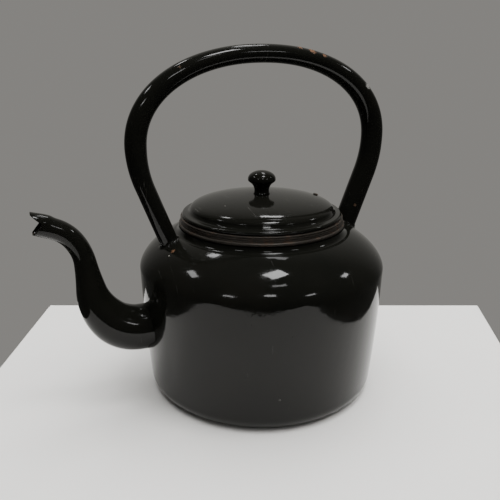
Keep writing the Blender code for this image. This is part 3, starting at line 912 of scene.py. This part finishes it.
@dataclass
class NeckRing:
    """Brown turned ring that caps the neck's lip."""

    bore: float = 0.0595
    lip: float = 0.0626
    band: float = 0.0675
    base: float = 0.1409
    bead: float = 0.0015
    top: float = 0.1485
    under: float = 0.1463
    groove: float = 0.0004
    pitch: float = 0.0016

    def outline(self) -> Outline:
        """Closed outline with a bead at its foot and two grooves."""
        points = [(self.lip, self.base)] + arc((self.band, self.base + self.bead), self.bead, -90.0, 90.0, 14)
        for number in (1, 2):
            height = self.base + 2.0 * self.bead + number * self.pitch
            points += arc((self.band, height), self.groove, 270.0, 90.0, 6)
        edge = self.groove
        points += arc((self.band - edge, self.top - edge), edge, 0.0, 90.0, 5)
        return points + [(self.bore, self.top), (self.bore, self.under), (self.lip, self.under)]

    def build(self, maker: Maker) -> None:
        """Spin the ring and dress it."""
        maker.piece("neck_band", spin_outline(self.outline(), 240), "ring_iron", Rides.KETTLE,
                    "neck_ring")


@dataclass
class Lid:
    """Domed lid with a beaded rim, a mushroom knob and a steam vent."""

    base: float = 0.1488
    radius: float = 0.0661
    bead: float = 0.0029
    crest: float = 0.0635
    dome_radius: float = 0.0595
    dome_base: float = 0.1543
    dome_rise: float = 0.0115
    wall: float = 0.0025
    land: float = 0.0562
    rim_land: float = 0.0035
    stud_hole: float = 0.0025
    knob_radius: float = 0.0115
    knob_neck: float = 0.0061
    knob_height: float = 0.0190
    knob_bore: float = 0.0113
    gap: float = 0.0003
    vent_place: float = 0.0500

    def apex(self) -> float:
        """Height of the dome's top."""
        return self.dome_base + self.dome_rise

    def outline(self) -> Outline:
        """Closed outline of the lid shell."""
        top = oval_arc(self.dome_radius, self.dome_base, self.dome_rise, self.stud_hole, self.dome_radius, 48)
        crest_height = self.base + self.bead
        hollow = (self.dome_radius + (self.crest - self.dome_radius) * 0.30,
                  crest_height + (self.dome_base - crest_height) * 0.15)
        foot = rounded([top[-1], hollow, (self.crest, crest_height)], 3)
        half = self.bead / 2.0
        rim = arc((self.radius - half, self.base + half), half, 80.0, -80.0, 14)
        under_base = self.base + self.rim_land
        under_rise = self.apex() - self.wall - under_base
        under = oval_arc(self.land, under_base, under_rise, self.land, self.stud_hole, 24)
        return top[:-1] + foot + rim + [(self.radius - 2.0 * half, self.base), (self.land, self.base)] + under

    def knob_outline(self) -> Outline:
        """Closed outline of the knob, from its foot at the dome."""
        shares = ((1.12, 0.00), (1.03, 0.06), (0.99, 0.14), (1.05, 0.26), (1.28, 0.40), (1.62, 0.49))
        stem = rounded([(self.knob_neck * wide, self.knob_height * high) for wide, high in shares], 2)
        crown = self.knob_height * 0.64
        lower = rounded([(self.knob_neck * 1.62, self.knob_height * 0.49),
                         (self.knob_radius * 1.005, self.knob_height * 0.555),
                         (self.knob_radius, crown)], 3)
        upper = oval_arc(self.knob_radius, crown, self.knob_height - crown, self.knob_radius, 0.0, 24)
        bore = [(0.0, self.knob_bore), (self.stud_hole, self.knob_bore), (self.stud_hole, 0.0)]
        return stem + lower[1:] + upper[1:] + bore

    def build(self, maker: Maker) -> None:
        """Build the lid's visible pieces and dress the hidden ones."""
        maker.piece("lid_dome", spin_outline(self.outline(), 240), "lid_enamel", Rides.LID,
                    "lid_shell")
        knob = spin_outline(self.knob_outline(), 96)
        bmesh.ops.translate(knob, verts=knob.verts, vec=(0.0, 0.0, self.apex() + self.gap))
        maker.piece("knob_turned", knob, "knob_enamel", Rides.LID, "lid_knob")
        maker.piece("vent_ferrule", self.vent(), "vent_iron", Rides.LID, "vent_eyelet")
        for node in ("lid_skirt", "knob_stud", "knob_washer", "knob_nut"):
            maker.dress(node, "inner_iron")

    def vent(self) -> bmesh.types.BMesh:
        """Small steam vent, square to the dome."""
        depth = math.sqrt(1.0 - (self.vent_place / self.dome_radius) ** 2)
        place = Vector((self.vent_place, 0.0, self.dome_base + self.dome_rise * depth))
        normal = Vector((self.vent_place / self.dome_radius ** 2, 0.0, depth / self.dome_rise)).normalized()
        collar = rounded([(0.0015, 0.0002), (0.0025, 0.0004), (0.0019, 0.0011), (0.0007, 0.0012)], 2)
        mesh = spin_outline([(0.0007, -0.0045), (0.0015, -0.0045), *collar], 36)
        bmesh.ops.transform(mesh, matrix=standing(place, normal), verts=mesh.verts)
        return mesh


# ---- floor, light and camera --------------------------------------------------------------------


@dataclass(frozen=True)
class Lamp:
    """One rectangular light, aimed at a point of the kettle."""

    name: str
    place: tuple[float, float, float]
    size: tuple[float, float]
    power: float
    colour: Colour = (1.0, 1.0, 1.0)
    mirrored: bool = True
    aim: tuple[float, float, float] = (0.0, 0.0, 0.12)

    def build(self) -> None:
        """Make the light and aim it."""
        data = bpy.data.lights.new(self.name, "AREA")
        data.shape = "RECTANGLE"
        data.size, data.size_y = self.size
        data.energy = self.power
        data.color = self.colour
        made = bpy.data.objects.new(self.name, data)
        bpy.context.scene.collection.objects.link(made)
        made.location = self.place
        made.rotation_mode = "QUATERNION"
        made.rotation_quaternion = (Vector(self.aim) - Vector(self.place)).to_track_quat("-Z", "Y")
        made.visible_glossy = self.mirrored
        made.visible_camera = False


@dataclass
class Studio:
    """Plain pale table top, soft light from ceiling panels, and the camera."""

    table_colour: Colour = (0.760, 0.748, 0.722)
    table_corners: tuple[tuple[float, float], ...] = (
        (0.149, 0.253), (0.146, -0.239), (-0.300, -0.243), (-0.300, 0.200))
    table_depth: float = 0.030
    wall: Colour = (0.238, 0.231, 0.218)
    room: Colour = (0.060, 0.060, 0.056)
    glow: Colour = (0.330, 0.322, 0.300)
    glow_heading: tuple[float, float, float] = (0.95, 0.0, 0.31)
    glow_span: tuple[float, float] = (0.45, 0.98)
    heading: float = math.radians(-21.2)
    lens: float = 43.2
    eye: tuple[float, float, float] = (-0.1848, -0.4501, 0.2794)
    look: tuple[float, float, float] = (0.3428, 0.8839, -0.3181)
    roll: float = 0.0026
    ceiling: float = 1.8
    soft_place: tuple[float, float, float] = (0.1, 0.3, 1.9)
    soft_size: tuple[float, float] = (2.8, 2.8)
    soft_power: float = 108.0
    panels: tuple[tuple[float, float, float, float, float], ...] = (
        (-0.13, 0.14, 0.40, 0.30, 9.0), (0.36, 0.13, 0.30, 0.14, 0.7), (0.66, 0.10, 0.34, 0.16, 2.4),
        (-0.48, 0.22, 0.34, 0.10, 0.8), (-1.08, 0.16, 0.40, 0.20, 3.4), (-1.10, 1.17, 0.50, 0.22, 4.0),
        (-1.23, -0.77, 0.50, 0.22, 4.0), (0.20, 1.30, 0.30, 0.24, 3.4), (0.05, -0.86, 0.44, 0.22, 3.4),
        (0.48, -0.38, 0.20, 0.16, 1.6))

    def turned(self, forward: float, right: float, height: float) -> Vector:
        """Point at a distance ahead and to the right, as seen by the camera."""
        turn = Matrix.Rotation(self.heading, 3, "Z")
        return turn @ Vector((right, forward, height))

    def build_table(self) -> None:
        """Make the table top just under the kettle, with softened edges."""
        mesh = bmesh.new()
        top = mesh.faces.new([mesh.verts.new(self.turned(*corner, -0.0001)) for corner in self.table_corners])
        grown = bmesh.ops.extrude_face_region(mesh, geom=[top])["geom"]
        low = [item for item in grown if isinstance(item, bmesh.types.BMVert)]
        bmesh.ops.translate(mesh, verts=low, vec=(0.0, 0.0, -self.table_depth))
        bmesh.ops.recalc_face_normals(mesh, faces=mesh.faces)
        bmesh.ops.bevel(mesh, geom=list(mesh.edges), offset=0.0015, segments=3, profile=0.5,
                        affect="EDGES", material=-1)
        data = bpy.data.meshes.new("table_top")
        mesh.to_mesh(data)
        mesh.free()
        made = bpy.data.objects.new("table_top", data)
        bpy.context.scene.collection.objects.link(made)
        surface = bpy.data.materials.new("pale_table")
        surface.use_nodes = True
        graph = Graph(surface.node_tree)
        shader = surface.node_tree.nodes["Principled BSDF"]
        vector = graph.node("ShaderNodeTexCoord").outputs["Object"]
        light = tuple(min(1.0, part * 1.04) for part in self.table_colour)
        graph.join(graph.blend(graph.noise(vector, 5.0, 3.0), self.table_colour, light),
                   shader.inputs["Base Color"])
        shader.inputs["Roughness"].default_value = 0.70
        data.materials.append(surface)

    def build_world(self) -> None:
        """Set the room's light: an even wall in view, a dim room and a glow ahead in mirrors."""
        world = bpy.data.worlds.new("studio")
        bpy.context.scene.world = world
        world.use_nodes = True
        graph = Graph(world.node_tree)
        vector = graph.node("ShaderNodeTexCoord").outputs["Generated"]
        ahead = graph.node("ShaderNodeVectorMath", operation="DOT_PRODUCT")
        graph.join(vector, ahead.inputs[0])
        ahead.inputs[1].default_value = self.turned(*self.glow_heading)
        glow = graph.span(ahead.outputs["Value"], *self.glow_span)
        mirrored = graph.blend(glow, self.room, self.glow)
        seen = graph.node("ShaderNodeLightPath").outputs["Is Camera Ray"]
        colour = graph.blend(seen, mirrored, self.wall)
        graph.join(colour, world.node_tree.nodes["Background"].inputs["Color"])

    def build_lamps(self) -> None:
        """Hang the ceiling panels, and one wide soft light that no mirror shows."""
        for number, (forward, right, across, along, power) in enumerate(self.panels, 1):
            place = self.turned(forward * self.ceiling, right * self.ceiling, self.ceiling)
            Lamp(f"panel_{number}", tuple(place), (across, along), power).build()
        place = self.turned(*self.soft_place)
        Lamp("soft_overhead", tuple(place), self.soft_size, self.soft_power, mirrored=False).build()

    def build_camera(self) -> None:
        """Stand the camera at the chosen viewing angle."""
        data = bpy.data.cameras.new("camera")
        data.lens = self.lens
        data.sensor_width = 36.0
        data.clip_start = 0.01
        made = bpy.data.objects.new("camera", data)
        bpy.context.scene.collection.objects.link(made)
        made.location = self.eye
        made.rotation_mode = "QUATERNION"
        aim = Vector(self.look).to_track_quat("-Z", "Y")
        made.rotation_quaternion = aim @ Matrix.Rotation(self.roll, 3, "Z").to_quaternion()
        bpy.context.scene.camera = made

    def build(self) -> None:
        """Build the whole studio."""
        self.build_table()
        self.build_world()
        self.build_camera()
        self.build_lamps()


# ---- assembly --------------------------------------------------------------------------------------


def build_finishes() -> dict[str, bpy.types.Material]:
    """Build every finish by name."""
    effects = Effects.build()
    body_damage = (
        Damage((-0.0810, -0.0185, 0.1306), 0.0060, Stain.RUST, 0.30, 1100.0),
        Damage((-0.0851, -0.0206, 0.1279), 0.0020, Stain.CHALK, 0.30, 1500.0),
        Damage((-0.0231, -0.0959, 0.0310), 0.0080, Stain.SCUFF, 0.05, 900.0),
        Damage((0.0690, 0.0620, 0.1220), 0.0050, Stain.RUST, 0.10, 900.0),
    )
    hoop_damage = (
        Damage((0.0300, -0.0040, 0.2822), 0.0070, Stain.RUST, 0.36, 700.0),
        Damage((0.0400, -0.0052, 0.2782), 0.0080, Stain.RUST, 0.36, 700.0),
        Damage((0.0504, -0.0060, 0.2745), 0.0060, Stain.RUST, 0.30, 700.0),
        Damage((-0.0679, -0.0060, 0.2665), 0.0055, Stain.EARTH, 0.22, 900.0),
        Damage((0.0914, -0.0066, 0.2504), 0.0080, Stain.SCUFF, 0.32, 1200.0),
        Damage((0.0843, -0.0092, 0.1504), 0.0060, Stain.EARTH, 0.20, 900.0),
    )
    lid_damage = (Damage((-0.0380, -0.0172, 0.1625), 0.0016, Stain.CHALK, 0.20, 2000.0),)
    finishes: list[Enamel | WornIron] = [
        Enamel("body_enamel", damage=body_damage),
        Enamel("spout_enamel", damage=(Damage((-0.1790, 0.0, 0.1520), 0.0050, Stain.EARTH, 0.45, 600.0),)),
        Enamel("lid_enamel", scratches=0.8, damage=lid_damage),
        Enamel("knob_enamel", scratches=0.6),
        Enamel("hoop_enamel", damage=hoop_damage, scratches=0.9),
        Enamel("braze_enamel", peel=0.00015, dull=0.30),
        WornIron("ring_iron"),
        WornIron("vent_iron", rusted=0.2),
        WornIron("inner_iron", rusted=0.35, lines=0.00001),
    ]
    return {finish.name: finish.build(effects) for finish in finishes}


def main() -> None:
    """Build the studio and every sub-assembly in order."""
    logging.basicConfig(level=logging.INFO, format="%(name)s %(message)s")
    Studio().build()
    maker = Maker(build_finishes())
    body = Body()
    spout = Spout()
    body.build(maker, spout)
    spout.build(maker, body)
    maker.dress("spout_retainer", "inner_iron")
    Hoop().build(maker, body)
    NeckRing().build(maker)
    Lid().build(maker)


if __name__ == "__main__":
    main()
